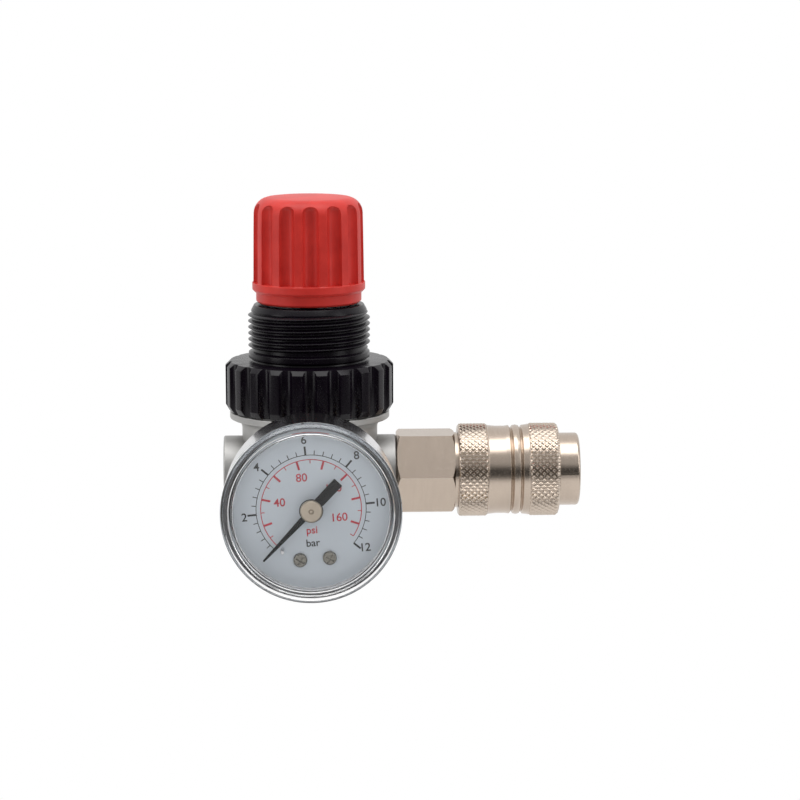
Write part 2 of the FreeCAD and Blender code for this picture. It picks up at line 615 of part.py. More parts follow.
# ----------------------------------------------------------------- the coupler
coupler_thread_r = port_major_r - 2 * seat_gap
neck_r = 9.35
coupler = hexagon(hex_flats, hex_start, hex_end, "x", trim=9.7)
socket_bore_r = 6.0
socket_bottom = 50.0
coupler = coupler.fuse([
    turned([(0, 10.4), (coupler_thread_r - 0.9, 10.4), (coupler_thread_r, 11.3),
            (coupler_thread_r, hex_start), (0, hex_start)], "x"),
    turned([(0, hex_end), (neck_r, hex_end), (neck_r, hex_end + 0.6), (nose_r, hex_end + 0.6),
            (nose_r, nose_end, 0.8), (0, nose_end)], "x"),
])
poppet_bore_r = 5.2
coupler = coupler.cut(turned([
    (0, 10.0), (4.0, 10.0), (4.0, 30.0), (poppet_bore_r, 30.0), (poppet_bore_r, 45.0),
    (4.4, 46.0), (4.4, 47.0), (socket_bore_r, 47.0), (socket_bore_r, 59.2),
    (socket_bore_r + 0.4, 59.2), (socket_bore_r + 0.4, 59.9), (socket_bore_r, 59.9),
    (socket_bore_r, nose_end - 1.2),
    (socket_bore_r + 1.2, nose_end), (0, nose_end),
], "x"))
ball_r = 1.9
ball_x = 57.2
ball_ring_r = nose_r - ball_r
hole = rod(ball_r + slide_gap, 4.0, 12.0, "z", (ball_x, 0))
coupler = coupler.cut(around(hole, 6, "x"))
ring_x = 50.6
coupler = coupler.cut(tube(nose_r + 1, nose_r - 0.5, ring_x, ring_x + 1.0, "x"))
save_coupler("coupler_body", coupler)
ball = Part.makeSphere(ball_r, V(ball_x, 0, ball_ring_r))
save_coupler("locking_balls", around(ball, 6, "x"))
save_coupler("spring_stop_ring", tube(10.2, nose_r - 0.5 + seat_gap, ring_x, ring_x + 1.0, "x"))
save_coupler("socket_seal", turned([
    (4.9, 47.0, 0.3), (socket_bore_r, 47.0, 0.3), (socket_bore_r, 49.6, 0.6), (4.9, 49.6, 0.6),
], "x"))
poppet_front = 46.6
coupler_poppet = turned([
    (0, 33.0), (2.0, 33.0), (2.0, 38.6), (poppet_bore_r - slide_gap, 38.6),
    (poppet_bore_r - slide_gap, 42.4), (4.0, 42.4), (4.0, 43.6), (3.7, 43.6),
    (3.7, poppet_front, 0.4), (0, poppet_front),
], "x")
coupler_poppet = coupler_poppet.cut(around(
    rod(0.9, 38.0, 42.5, "x", (0, 4.6)), 4, "x"))
save_coupler("coupler_poppet", coupler_poppet)
save_coupler("coupler_poppet_seal", turned([
    (4.0 + seat_gap, 42.4), (poppet_bore_r - 0.1, 42.4, 0.3), (poppet_bore_r - 0.1, 43.6, 0.3),
    (4.0 + seat_gap, 43.6),
], "x"))
save_coupler("coupler_poppet_spring", coil(4.5, 0.4, 30.0, 38.6, 5, "x"))
chamber_start = 40.6
chamber_end = 55.0
sleeve_bore_r = nose_r + slide_gap
groove_mid = 49.7
sleeve = turned([
    (sleeve_bore_r, sleeve_start), (sleeve_r - 0.4, sleeve_start), (sleeve_r, sleeve_start + 0.4),
    (sleeve_r, 43.6), (10.95, 43.9), (10.85, 48.6), (11.0, 49.2), (10.3, groove_mid),
    (11.0, 50.3, 0.2), (11.1, 51.0, 0.5), (11.0, 51.6), (10.4, 52.0), (11.1, 52.5),
    (11.15, 53.8), (sleeve_r, 54.1), (sleeve_r, sleeve_end, 0.9),
    (sleeve_bore_r, sleeve_end, 0.3), (sleeve_bore_r, chamber_end),
    (10.25, chamber_end - 1.2), (10.25, chamber_start), (sleeve_bore_r, chamber_start),
], "x")
save_coupler("coupler_sleeve", sleeve)
save_coupler("sleeve_spring", coil(9.65, 0.45, chamber_start, ring_x, 4.5, "x"))
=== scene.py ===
import math

import bmesh
import bpy
from mathutils import Euler, Matrix, Vector


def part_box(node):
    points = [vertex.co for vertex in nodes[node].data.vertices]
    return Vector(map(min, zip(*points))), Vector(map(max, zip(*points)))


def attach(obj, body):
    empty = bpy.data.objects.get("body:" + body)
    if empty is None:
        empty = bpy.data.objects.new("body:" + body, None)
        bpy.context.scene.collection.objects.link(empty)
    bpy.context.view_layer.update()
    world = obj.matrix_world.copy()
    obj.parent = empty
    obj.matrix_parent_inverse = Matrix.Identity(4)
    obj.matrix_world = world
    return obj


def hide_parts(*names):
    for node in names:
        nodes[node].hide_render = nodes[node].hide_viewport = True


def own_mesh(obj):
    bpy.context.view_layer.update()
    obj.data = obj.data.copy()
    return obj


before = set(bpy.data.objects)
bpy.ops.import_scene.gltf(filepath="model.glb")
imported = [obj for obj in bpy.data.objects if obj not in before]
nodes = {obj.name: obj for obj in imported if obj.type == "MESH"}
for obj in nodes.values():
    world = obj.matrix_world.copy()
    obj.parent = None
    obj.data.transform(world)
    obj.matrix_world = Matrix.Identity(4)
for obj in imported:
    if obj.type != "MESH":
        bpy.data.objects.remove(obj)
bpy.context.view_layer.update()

MM = 0.001
TAU = 2 * math.pi

# The regulator axis: the middle of the bonnet's box.
low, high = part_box("bonnet")
AXIS_X = (low[0] + high[0]) / 2
GAUGE_ROLL = math.radians(4.0)      # the gauge stops short of upright
DIAL_FRONT = -47.7 * MM

# ------------------------------------------------------------------ mesh tools


def finish_mesh(name, bm, smooth_angle=35.0):
    mesh = bpy.data.meshes.new(name)
    bmesh.ops.recalc_face_normals(bm, faces=bm.faces)
    bm.to_mesh(mesh)
    bm.free()
    obj = bpy.data.objects.new(name, mesh)
    bpy.context.scene.collection.objects.link(obj)
    smooth(obj, smooth_angle)
    return obj


def smooth(obj, angle=35.0):
    mesh = obj.data
    for poly in mesh.polygons:
        poly.use_smooth = True
    bm = bmesh.new()
    bm.from_mesh(mesh)
    limit = math.radians(angle)
    for edge in bm.edges:
        if len(edge.link_faces) == 2:
            edge.smooth = edge.calc_face_angle(0.0) < limit
    bm.to_mesh(mesh)
    bm.free()


def rounded(corners, steps=5):
    """Points along a profile of (radius, position[, rounding]) corners, in mm."""
    out = []
    count = len(corners)
    for i, corner in enumerate(corners):
        p = Vector(corner[:2])
        if len(corner) == 2 or i in (0, count - 1):
            out.append(p)
            continue
        back = (Vector(corners[i - 1][:2]) - p).normalized()
        ahead = (Vector(corners[i + 1][:2]) - p).normalized()
        half = math.acos(max(-1.0, min(1.0, back.dot(ahead)))) / 2
        reach = corner[2] / math.tan(half)
        centre = p + (back + ahead).normalized() * (corner[2] / math.sin(half))
        start, end = p + back * reach - centre, p + ahead * reach - centre
        turn = start.angle_signed(end)
        for k in range(steps + 1):
            out.append(centre + Matrix.Rotation(-turn * k / steps, 2) @ start)
    return out


def spin(bm, points, segments=128, closed=True, frame_matrix=Matrix()):
    """Surface of revolution about Z from (radius, z) points in mm."""
    rings = []
    for r, z in points:
        if r < 1e-6:
            rings.append([bm.verts.new(frame_matrix @ Vector((0, 0, z * MM)))])
        else:
            rings.append([
                bm.verts.new(frame_matrix @ Vector((
                    r * MM * math.cos(TAU * k / segments),
                    r * MM * math.sin(TAU * k / segments), z * MM)))
                for k in range(segments)])
    pairs = list(zip(rings, rings[1:]))
    if closed:
        pairs.append((rings[-1], rings[0]))
    for a, b in pairs:
        for k in range(segments):
            n = (k + 1) % segments
            corner = [a[k % len(a)], a[n % len(a)], b[n % len(b)], b[k % len(b)]]
            face = []
            for v in corner:
                if v not in face:
                    face.append(v)
            if len(face) > 2:
                bm.faces.new(face)


def place(at=(0, 0, 0), axis="z"):
    """Matrix that carries +Z to x, y- (out of the gauge) or z, then moves to a place in mm."""
    turn = {"z": Euler((0, 0, 0)), "x": Euler((0, math.pi / 2, 0)),
            "out": Euler((math.pi / 2, 0, 0))}[axis]
    return Matrix.Translation(Vector((AXIS_X + at[0] * MM, at[1] * MM, at[2] * MM))) \
        @ turn.to_matrix().to_4x4()


def lathe(name, corners, where, segments=128, closed=True, angle=35.0, steps=5):
    bm = bmesh.new()
    spin(bm, rounded(corners, steps), segments, closed, where)
    return finish_mesh(name, bm, angle)


def carve(obj, cutters, bevel=0.0, segments=2, angle=35.0):
    """Cuts the pieces out of obj, then rounds the sharp edges that are left."""
    for cutter in cutters:
        cut = obj.modifiers.new("cut", "BOOLEAN")
        cut.operation = "DIFFERENCE"
        cut.solver = "EXACT"
        cut.object = cutter
    if bevel:
        soft = obj.modifiers.new("soft", "BEVEL")
        soft.width = bevel * MM
        soft.segments = segments
        soft.limit_method = "ANGLE"
        soft.angle_limit = math.radians(30)
        soft.harden_normals = False
    bpy.context.view_layer.update()
    graph = bpy.context.evaluated_depsgraph_get()
    made = bpy.data.meshes.new_from_object(obj.evaluated_get(graph))
    obj.modifiers.clear()
    obj.data = made
    for cutter in cutters:
        bpy.data.objects.remove(cutter)
    smooth(obj, angle)
    return obj


# ------------------------------------------------------------------- materials


def srgb(r, g, b):
    return tuple((c / 12.92 if c <= 0.04045 else ((c + 0.055) / 1.055) ** 2.4)
                 for c in (r / 255, g / 255, b / 255)) + (1.0,)


def material(name, colour, rough, metallic=0.0, grain=0.0, grain_size=0.3, spots=0.08,
             rough_spread=0.08, stretch=(1, 1, 1), tint=None, **sockets):
    """Principled surface with colour clouds, uneven gloss and a fine bump.

    grain is the bump's height in mm and grain_size its feature size in mm; stretch
    squeezes the pattern along an axis to make turning or brushing marks.
    """
    mat = bpy.data.materials.new(name)
    mat.use_nodes = True
    tree = mat.node_tree
    bsdf = tree.nodes["Principled BSDF"]
    bsdf.inputs["Metallic"].default_value = metallic
    for key, value in sockets.items():
        bsdf.inputs[key.replace("_", " ")].default_value = value
    coords = tree.nodes.new("ShaderNodeTexCoord")
    mapping = tree.nodes.new("ShaderNodeMapping")
    mapping.inputs["Scale"].default_value = stretch
    tree.links.new(coords.outputs["Object"], mapping.inputs["Vector"])

    clouds = tree.nodes.new("ShaderNodeTexNoise")
    clouds.inputs["Scale"].default_value = 180.0
    clouds.inputs["Detail"].default_value = 5.0
    tree.links.new(mapping.outputs["Vector"], clouds.inputs["Vector"])
    ramp = tree.nodes.new("ShaderNodeValToRGB")
    dark = tuple(c * (1 - spots) for c in colour[:3]) + (1.0,)
    light = tuple(min(1.0, c * (1 + spots)) for c in colour[:3]) + (1.0,)
    if tint:
        light = tint
    ramp.color_ramp.elements[0].position = 0.3
    ramp.color_ramp.elements[0].color = dark
    ramp.color_ramp.elements[1].position = 0.7
    ramp.color_ramp.elements[1].color = light
    tree.links.new(clouds.outputs["Fac"], ramp.inputs["Fac"])
    tree.links.new(ramp.outputs["Color"], bsdf.inputs["Base Color"])

    fine = tree.nodes.new("ShaderNodeTexNoise")
    fine.inputs["Scale"].default_value = 1.0 / (grain_size * MM)
    fine.inputs["Detail"].default_value = 3.0
    tree.links.new(mapping.outputs["Vector"], fine.inputs["Vector"])
    gloss = tree.nodes.new("ShaderNodeMapRange")
    gloss.inputs["To Min"].default_value = max(0.0, rough - rough_spread)
    gloss.inputs["To Max"].default_value = min(1.0, rough + rough_spread)
    tree.links.new(fine.outputs["Fac"], gloss.inputs["Value"])
    tree.links.new(gloss.outputs["Result"], bsdf.inputs["Roughness"])
    if grain:
        bump = tree.nodes.new("ShaderNodeBump")
        bump.inputs["Strength"].default_value = 1.0
        bump.inputs["Distance"].default_value = grain * MM
        tree.links.new(fine.outputs["Fac"], bump.inputs["Height"])
        tree.links.new(bump.outputs["Normal"], bsdf.inputs["Normal"])
    return mat


red_plastic = material("red_plastic", srgb(200, 46, 39), 0.42, grain=0.012, grain_size=0.3,
                       spots=0.08, tint=srgb(212, 54, 46), Specular_IOR_Level=0.32)
black_plastic = material("black_plastic", srgb(10, 4, 13), 0.27, grain=0.005,
                         grain_size=0.22, spots=0.18, Specular_IOR_Level=0.24)
zinc = material("cast_zinc", srgb(178, 177, 175), 0.50, metallic=1.0, grain=0.020,
                grain_size=0.22, spots=0.05)
nickel = material("nickel_plate", srgb(192, 177, 163), 0.25, metallic=1.0, grain=0.002,
                  grain_size=0.5, spots=0.03, stretch=(6, 1, 1), rough_spread=0.06)
# Painted highlight: the knurled bands get a slightly lighter copy of the sleeve's nickel plate.
lit_knurl_nickel = material("nickel_knurl", srgb(200, 186, 172), 0.24, metallic=1.0, grain=0.003,
                       grain_size=0.2, spots=0.05)
polished = material("polished_steel", srgb(206, 206, 208), 0.16, metallic=1.0, grain=0.001,
                    grain_size=0.6, spots=0.02, stretch=(1, 8, 1))
steel = material("turned_steel", srgb(190, 190, 192), 0.28, metallic=1.0, grain=0.002,
                 grain_size=0.2)
spring_wire = material("spring_wire", srgb(160, 162, 168), 0.3, metallic=1.0, grain=0.002,
                       grain_size=0.2)
brass = material("turned_brass", srgb(206, 178, 112), 0.26, metallic=1.0, grain=0.002,
                 grain_size=0.3)
hub_nickel = material("hub_nickel", srgb(176, 164, 148), 0.34, metallic=1.0, grain=0.004,
                     grain_size=0.3)
screw_steel = material("screw_steel", srgb(128, 125, 117), 0.36, metallic=1.0, grain=0.006,
                       grain_size=0.3)
bronze = material("bronze", srgb(190, 138, 92), 0.3, metallic=1.0, grain=0.002, grain_size=0.3)
rubber = material("nitrile_rubber", srgb(28, 28, 29), 0.6, grain=0.006, grain_size=0.2)
gasket_grey = material("gasket_grey", srgb(72, 72, 75), 0.6, grain=0.003, grain_size=0.2)
acetal = material("acetal", srgb(226, 223, 212), 0.42, grain=0.003, grain_size=0.3)
black_paint = material("black_paint", srgb(4, 4, 6), 0.6, grain=0.002, grain_size=0.15,
                       Specular_IOR_Level=0.05)
dial_paint = material("dial_paint", srgb(206, 214, 222), 0.5, grain=0.001, grain_size=0.1,
                      spots=0.012)
ink_black = material("ink_black", srgb(26, 26, 30), 0.55, grain=0.001, grain_size=0.1)
ink_red = material("ink_red", srgb(196, 52, 66), 0.55, grain=0.001, grain_size=0.1)
clear = material("clear_plastic", (1.0, 1.0, 1.0, 1.0), 0.03, grain=0.0, spots=0.0,
                 rough_spread=0.01, Transmission_Weight=1.0, IOR=1.49)

FINISH = {
    "body_casting": zinc, "bottom_plug": nickel, "bottom_plug_seal": rubber,
    "rear_port_plug": nickel, "rear_plug_seal": rubber, "bonnet": black_plastic,
    "knob": red_plastic, "thrust_washer": acetal, "adjusting_screw": steel,
    "snap_ring": steel, "adjusting_nut": brass, "piston": acetal, "piston_seal": rubber,
    "valve_poppet": brass, "valve_seal": rubber, "valve_spring": spring_wire,
    "regulating_spring": spring_wire, "gauge_case": polished, "case_screws": steel,
    "gauge_socket": brass, "gauge_window": clear, "window_gasket": gasket_grey,
    "gauge_dial": dial_paint, "dial_screws": screw_steel, "zero_stop_pin": steel,
    "movement_plate_rear": brass, "movement_plate_front": brass,
    "movement_pillars": brass, "pinion_shaft": steel, "sector_gear": brass,
    "hairspring": bronze, "bourdon_tube": bronze, "tube_link": brass,
    "pointer": black_paint, "pointer_hub": hub_nickel, "coupler_body": nickel,
    "locking_balls": steel, "spring_stop_ring": steel, "socket_seal": rubber,
    "coupler_poppet": brass, "coupler_poppet_seal": rubber,
    "coupler_poppet_spring": spring_wire, "coupler_sleeve": nickel,
    "sleeve_spring": spring_wire,
}
for name, mat in FINISH.items():
    mesh = nodes[name].data
    mesh.materials.clear()
    mesh.materials.append(mat)


def own(obj, mat, body, slot=None, *replaced):
    obj.data.materials.clear()
    obj.data.materials.append(mat)
    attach(obj, body)
    if replaced:
        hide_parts(*replaced)
    return obj


# ------------------------------------------------------------------------ knob
knob_bottom, knob_top = 42.4, 68.4
flutes = []
KNOB_FLUTES = 14
KNOB_TURN = math.radians(-90 + 2.3)     # a flute just off the front
for i in range(KNOB_FLUTES):
    turn = KNOB_TURN + TAU * i / KNOB_FLUTES
    flute = lathe("flute", [(0, 47.45), (2.05, 47.45), (2.05, 66.3, 1.6), (0, 68.2)],
                  place((13.8 * math.cos(turn), 13.8 * math.sin(turn), 0)),
                  segments=40, closed=False)
    flutes.append(flute)
knob_inner = lathe("knob_inner", [
    (12.45, knob_bottom), (10.8, knob_bottom), (10.8, 65.0, 1.0), (7.0, 65.0), (7.0, 42.9),
    (4.95, 42.9), (4.95, 65.2), (0, 65.2)], place(), segments=96, closed=False)
# Closing the shell keeps the cuts clean.
bm = bmesh.new()
spin(bm, rounded([
    (0, 43.6), (10.8, 43.6), (10.8, knob_bottom), (12.45, knob_bottom, 0.2),
    (12.95, knob_bottom + 0.5, 0.2),
    (12.95, 45.0, 0.12), (13.3, 45.1, 0.1), (13.88, 45.7, 0.25), (13.88, 47.35, 0.3),
    (13.6, 47.6, 0.1), (13.45, 60.0), (13.3, knob_top - 0.25, 3.9),
    (2.0, knob_top - 0.02), (0, knob_top)], 8), 196, False, place())
knob = finish_mesh("knob_shell", bm)
carve(knob, flutes, bevel=0.42, segments=4, angle=40)
own(knob, red_plastic, "knob", "red_plastic", "knob")
own(knob_inner, red_plastic, "knob", "red_plastic")

# ---------------------------------------------------------------------- bonnet
PITCH = 1.5
ROOT, CREST = 14.08, 15.0
neck_top = 41.9
moulding = bmesh.new()
spin(moulding, rounded([
    (18.6, 15.8), (19.8, 15.8, 0.15), (20.7, 17.3, 0.2), (20.7, 26.9, 0.2), (19.55, 28.0, 0.2),
    (14.2, 28.0, 0.15), (ROOT, 28.45, 0.1), (14.9, 28.9, 0.12), (14.9, 30.2, 0.15),
    (ROOT, 30.7, 0.1), (ROOT, 40.2, 0.1), (14.25, 40.3, 0.1), (14.2, 40.6, 0.1),
    (13.5, neck_top, 0.25), (5.6, neck_top), (5.6, 39.9), (11.2, 39.9), (11.2, 24.0),
    (18.6, 24.0)]), 176, True, place())
bonnet = finish_mesh("bonnet_moulding", moulding)
flutes = []
RING_FLUTES = 22
for i in range(RING_FLUTES):
    turn = math.radians(-90) + TAU * i / RING_FLUTES
    flutes.append(lathe("flute", [(0, 15.0), (1.7, 15.0), (1.7, 28.6), (0, 28.6)],
                        place((20.95 * math.cos(turn), 20.95 * math.sin(turn), 0)),
                        segments=28, closed=False))
carve(bonnet, flutes, bevel=0.16, segments=2, angle=40)

# The right-hand thread: one ridge wound round the neck, fading in and out.
thread = bmesh.new()
STEPS = 96
first, last = 30.9, 40.2
turns = (last - first) / PITCH
rows = []
for i in range(int(turns * STEPS) + 1):
    t = i / STEPS
    angle = TAU * t - math.radians(36)
    fade = min(1.0, t / 0.25, (turns - t) / 0.25)
    height = (CREST - ROOT) * max(0.02, fade)
    middle = first + PITCH * t
    row = []
    for dz, up in ((-0.62, -0.06), (-0.14, 0.9), (-0.06, 1.0), (0.06, 1.0), (0.14, 0.9),
                   (0.62, -0.06)):
        r = ROOT + (CREST - ROOT) * up if up < 0 else ROOT + height * up
        z = middle + dz * max(0.3, fade)
        r = min(r, 14.3 + (40.9 - z) * 0.9) if z > 40.0 else r
        row.append(thread.verts.new((AXIS_X + r * MM * math.cos(angle),
                                     r * MM * math.sin(angle), z * MM)))
    rows.append(row)
for a, b in zip(rows, rows[1:]):
    for k in range(5):
        thread.faces.new((a[k], b[k], b[k + 1], a[k + 1]))
thread = finish_mesh("bonnet_thread", thread, 50)
own(bonnet, black_plastic, "regulator", "black_plastic", "bonnet")
own(thread, black_plastic, "regulator", "black_plastic")

# --------------------------------------------------------------------- coupler


def knurl(name, radius, start, end, count, depth, edge=0.25):
    """Band of diamond knurling about the port axis; count diamonds around."""
    around_steps = count * 8
    pitch = TAU * radius / count
    along_steps = max(8, int(round((end - start) / (pitch / 8))))
    bm = bmesh.new()
    rows = []
    for j in range(along_steps + 1):
        x = start + (end - start) * j / along_steps
        fade = min(1.0, (x - start) / edge, (end - x) / edge)
        row = []
        for i in range(around_steps):
            u = (i + j) / 8.0
            v = (i - j) / 8.0
            a = abs(u % 1.0 - 0.5) * 2
            b = abs(v % 1.0 - 0.5) * 2
            lift = min(1.0, 1.7 * min(1 - a, 1 - b))
            r = radius - depth * (1 - lift * max(0.0, fade))
            angle = TAU * i / around_steps
            row.append(bm.verts.new((AXIS_X + x * MM, r * MM * math.cos(angle),
                                     r * MM * math.sin(angle))))
        rows.append(row)
    for a, b in zip(rows, rows[1:]):
        for i in range(around_steps):
            n = (i + 1) % around_steps
            bm.faces.new((a[i], a[n], b[n], b[i]))
    return finish_mesh(name, bm, 22)


sleeve = lathe("sleeve_turning", [
    (9.05, 36.6), (11.0, 36.6, 0.1), (11.15, 36.9, 0.1), (11.15, 43.6), (11.3, 43.75, 0.1),
    (11.05, 44.0, 0.15), (10.86, 46.0), (10.86, 48.3, 0.4), (11.02, 49.25, 0.12),
    (10.35, 49.7, 0.06), (11.0, 50.2, 0.15), (11.14, 50.95, 0.6), (10.95, 51.7, 0.15),
    (10.4, 52.05, 0.08), (11.05, 52.5, 0.15), (11.18, 53.7, 0.15), (11.3, 54.0, 0.1),
    (11.15, 54.2), (11.15, 61.0, 0.3), (10.6, 61.5, 0.3), (9.3, 61.5, 0.2), (9.05, 61.2),
    (9.05, 55.0), (10.25, 53.8), (10.25, 40.6), (9.05, 40.6)], place(axis="x"), segments=160)
own(sleeve, nickel, "sleeve", "nickel_brass", "coupler_sleeve")
own(knurl("sleeve_knurl_rear", 11.5, 36.75, 43.75, 44, 0.42), lit_knurl_nickel, "sleeve",
    "nickel_brass")
own(knurl("sleeve_knurl_front", 11.5, 54.05, 61.3, 44, 0.42, edge=0.5), lit_knurl_nickel,
    "sleeve", "nickel_brass")

# --------------------------------------------------------------------- springs


def coil(node, middle_r, wire_r, fixed, moving, turns, axis):
    """Compression spring from its fixed seat to its moving seat, in mm."""
    bm = bmesh.new()
    where = place(axis=axis)
    low, high = min(fixed, moving), max(fixed, moving)
    steps, sides = int(turns * 40), 12
    rows = []
    for i in range(steps + 1):
        t = i / steps
        a = TAU * turns * t
        z = low + wire_r + (high - low - 2 * wire_r) * t
        rows.append([bm.verts.new(where @ Vector((
            (middle_r + wire_r * math.cos(b)) * math.cos(a) * MM,
            (middle_r + wire_r * math.cos(b)) * math.sin(a) * MM,
            (z + wire_r * math.sin(b)) * MM))) for b in (TAU * k / sides for k in range(sides))])
    for a, b in zip(rows, rows[1:]):
        for k in range(sides):
            n = (k + 1) % sides
            bm.faces.new((a[k], a[n], b[n], b[k]))
    bm.faces.new(rows[0])
    bm.faces.new(rows[-1])
    spring = finish_mesh(node + "_wire", bm, 50)
    own(spring, spring_wire, "regulator", "spring_steel", node)
    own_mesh(spring)


coil("regulating_spring", 9.0, 1.0, 18.6, 32.0, 3.5, "z")
coil("valve_spring", 3.8, 0.45, -16.0, -5.2, 4.5, "z")
coil("sleeve_spring", 9.65, 0.45, 50.6, 40.6, 4.5, "x")
coil("coupler_poppet_spring", 4.5, 0.4, 30.0, 38.6, 5, "x")

# ------------------------------------------------------------------- the gauge
GAUGE = Matrix.Translation((AXIS_X, 0, 0)) @ Matrix.Rotation(GAUGE_ROLL, 4, (0, -1, 0))
GAUGE_TURNED = GAUGE @ Matrix.Rotation(math.pi / 2, 4, "X")     # +Z out of the dial


def on_dial(x, z, lift=0.0):
    """A point on the dial's face, from its middle, in mm."""
    return GAUGE @ Vector((x * MM, DIAL_FRONT - lift * MM, z * MM))


def ink_bar(bm, angle, inner, outer, width):
    out = Vector((math.cos(angle), 0, math.sin(angle)))
    side = Vector((-math.sin(angle), 0, math.cos(angle)))
    quad = []
    for r, s in ((inner, -1), (outer, -1), (outer, 1), (inner, 1)):
        p = out * r + side * s * width / 2
        quad.append(bm.verts.new(on_dial(p.x, p.z, 0.03)))
    bm.faces.new(quad)


def ink_arc(bm, radius, width, start, end):
    steps = 160         # fine enough to look round close up
    rows = []
    for i in range(steps + 1):
        a = start + (end - start) * i / steps
        rows.append([bm.verts.new(on_dial(r * math.cos(a), r * math.sin(a), 0.03))
                     for r in (radius - width / 2, radius + width / 2)])
    for a, b in zip(rows, rows[1:]):
        bm.faces.new((a[0], b[0], b[1], a[1]))


TICK_TURN = math.radians(1.5)
ZERO = math.radians(225) + TICK_TURN
SWEEP = math.radians(270)
FULL_BAR, FULL_PSI = 12.0, 174.0


def at_bar(value):
    return ZERO - SWEEP * value / FULL_BAR


def at_psi(value):
    return ZERO - SWEEP * value / FULL_PSI


scale = bmesh.new()
ink_arc(scale, 13.0, 0.17, at_bar(0), at_bar(12))
for i in range(1, 31):
    major = i % 5 == 0
    ink_bar(scale, at_bar(i * 0.4), 13.0, 15.1 if major else 14.1, 0.46 if major else 0.2)
own(finish_mesh("dial_scale_bar", scale), ink_black, "regulator", "black_paint")
scale = bmesh.new()
ink_arc(scale, 11.9, 0.2, at_psi(0), at_psi(170))
for i in range(1, 18):
    major = i % 2 == 0
    ink_bar(scale, at_psi(i * 10), 9.8 if major else 11.0, 11.9, 0.5 if major else 0.2)
own(finish_mesh("dial_scale_psi", scale), ink_red, "regulator", "red_plastic")


def lettering(name, text, x, z, size, mat, slot, turn=0.0):
    curve = bpy.data.curves.new(name, "FONT")
    curve.body = text
    curve.size = size * MM
    curve.align_x = "CENTER"
    curve.align_y = "CENTER"
    curve.offset = 0.012 * size * MM
    obj = bpy.data.objects.new(name, curve)
    bpy.context.scene.collection.objects.link(obj)
    obj.matrix_world = Matrix.Translation(on_dial(x, z, 0.04)) \
        @ Matrix.Rotation(GAUGE_ROLL + turn, 4, (0, -1, 0)) @ Matrix.Rotation(math.pi / 2, 4, "X")
    bpy.context.view_layer.update()
    graph = bpy.context.evaluated_depsgraph_get()
    mesh = bpy.data.meshes.new_from_object(obj.evaluated_get(graph))
    mesh.transform(obj.matrix_world)
    flat = bpy.data.objects.new(name, mesh)
    bpy.context.scene.collection.objects.link(flat)
    bpy.data.objects.remove(obj)
    own(flat, mat, "regulator", slot)


def number_at(text, unit, reach, angle, size, ink, slot):
    """Upright number; angle is measured with the dial as it hangs, before its roll."""
    a = math.radians(angle) - GAUGE_ROLL
    lettering(f"dial_number_{text}_{unit}", text, reach * math.cos(a), reach * math.sin(a),
              size, ink, slot)


for text, reach, angle in (("2", 15.9, 187.1), ("4", 16.3, 141.7), ("6", 16.6, 95.7),
                           ("8", 16.7, 49.8), ("10", 16.4, 5.0), ("12", 15.8, -36.5)):
    number_at(text, "bar", reach, angle, 2.75, ink_black, "black_paint")
for text, reach, angle in (("40", 7.6, 168.2), ("80", 7.8, 106.4), ("120", 7.2, 43.5),
                           ("160", 6.9, -17.6)):
    number_at(text, "psi", reach, angle, 2.75, ink_red, "red_plastic")
lettering("dial_unit_psi", "psi", -0.2, -5.1, 2.5, ink_red, "red_plastic")
lettering("dial_unit_bar", "bar", -0.2, -8.2, 2.5, ink_black, "black_paint")

hub = lathe("hub_cap", [
    (0.45, 50.15), (2.55, 50.15, 0.1), (2.65, 50.4, 0.1), (2.6, 50.9, 0.15), (2.3, 51.15, 0.15),
    (0.6, 51.35, 0.1), (0.35, 51.0), (0, 50.95), (0, 50.4), (0.45, 50.4)],
    GAUGE_TURNED, segments=96, closed=True)
own(hub, hub_nickel, "pointer", "brass", "pointer_hub")

# Painted shadow: a black ring just wider than the hub cap, under its edge, stands in for the
# shade round the cap's foot.
hub_shadow_ring = lathe("hub_painted_shadow", [(2.5, 49.95), (2.8, 49.95, 0.05), (2.8, 50.12, 0.05), (2.5, 50.12)],
            GAUGE_TURNED, segments=96)
own(hub_shadow_ring, black_paint, "pointer", "black_paint")

window = lathe("window_moulding", [
    (0, 54.9 - 1.35), (18.2, 54.9 - 1.35, 0.3), (18.6, 54.35, 0.12), (19.1, 54.5, 0.1),
    (19.3, 54.9, 0.1), (20.35, 55.0, 0.25), (21.0, 54.2, 0.3), (20.98, 50.95, 0.1),
    (19.6, 50.95), (19.6, 48.6), (18.8, 48.6), (18.8, 51.9, 0.4), (0, 51.9)],
    GAUGE_TURNED, segments=192, closed=True, angle=30)
own(window, clear, "regulator", "clear_plastic", "gauge_window")

# ------------------------------------------------------- floor, light and camera
scene = bpy.context.scene
scene.view_settings.view_transform = "Standard"

world = bpy.data.worlds.new("studio")
scene.world = world
world.use_nodes = True
tree = world.node_tree
tree.nodes.clear()
out = tree.nodes.new("ShaderNodeOutputWorld")
coords = tree.nodes.new("ShaderNodeTexCoord")
split = tree.nodes.new("ShaderNodeSeparateXYZ")
tree.links.new(coords.outputs["Generated"], split.inputs["Vector"])
sky = tree.nodes.new("ShaderNodeValToRGB")
height = tree.nodes.new("ShaderNodeMapRange")
height.inputs["From Min"].default_value = -1.0
height.inputs["From Max"].default_value = 1.0
tree.links.new(split.outputs["Z"], height.inputs["Value"])
tree.links.new(height.outputs["Result"], sky.inputs["Fac"])
ramp = sky.color_ramp
ramp.elements[0].position = 0.0
ramp.elements[0].color = (0.62, 0.62, 0.62, 1)
ramp.elements[1].position = 1.0
ramp.elements[1].color = (0.7, 0.7, 0.7, 1)
for position, level in ((0.37, 0.52), (0.41, 0.05), (0.61, 0.05), (0.69, 0.64), (0.90, 0.60),
                        (0.945, 1.3), (0.98, 1.3)):
    e = ramp.elements.new(position)
    e.color = (level, level, level, 1)
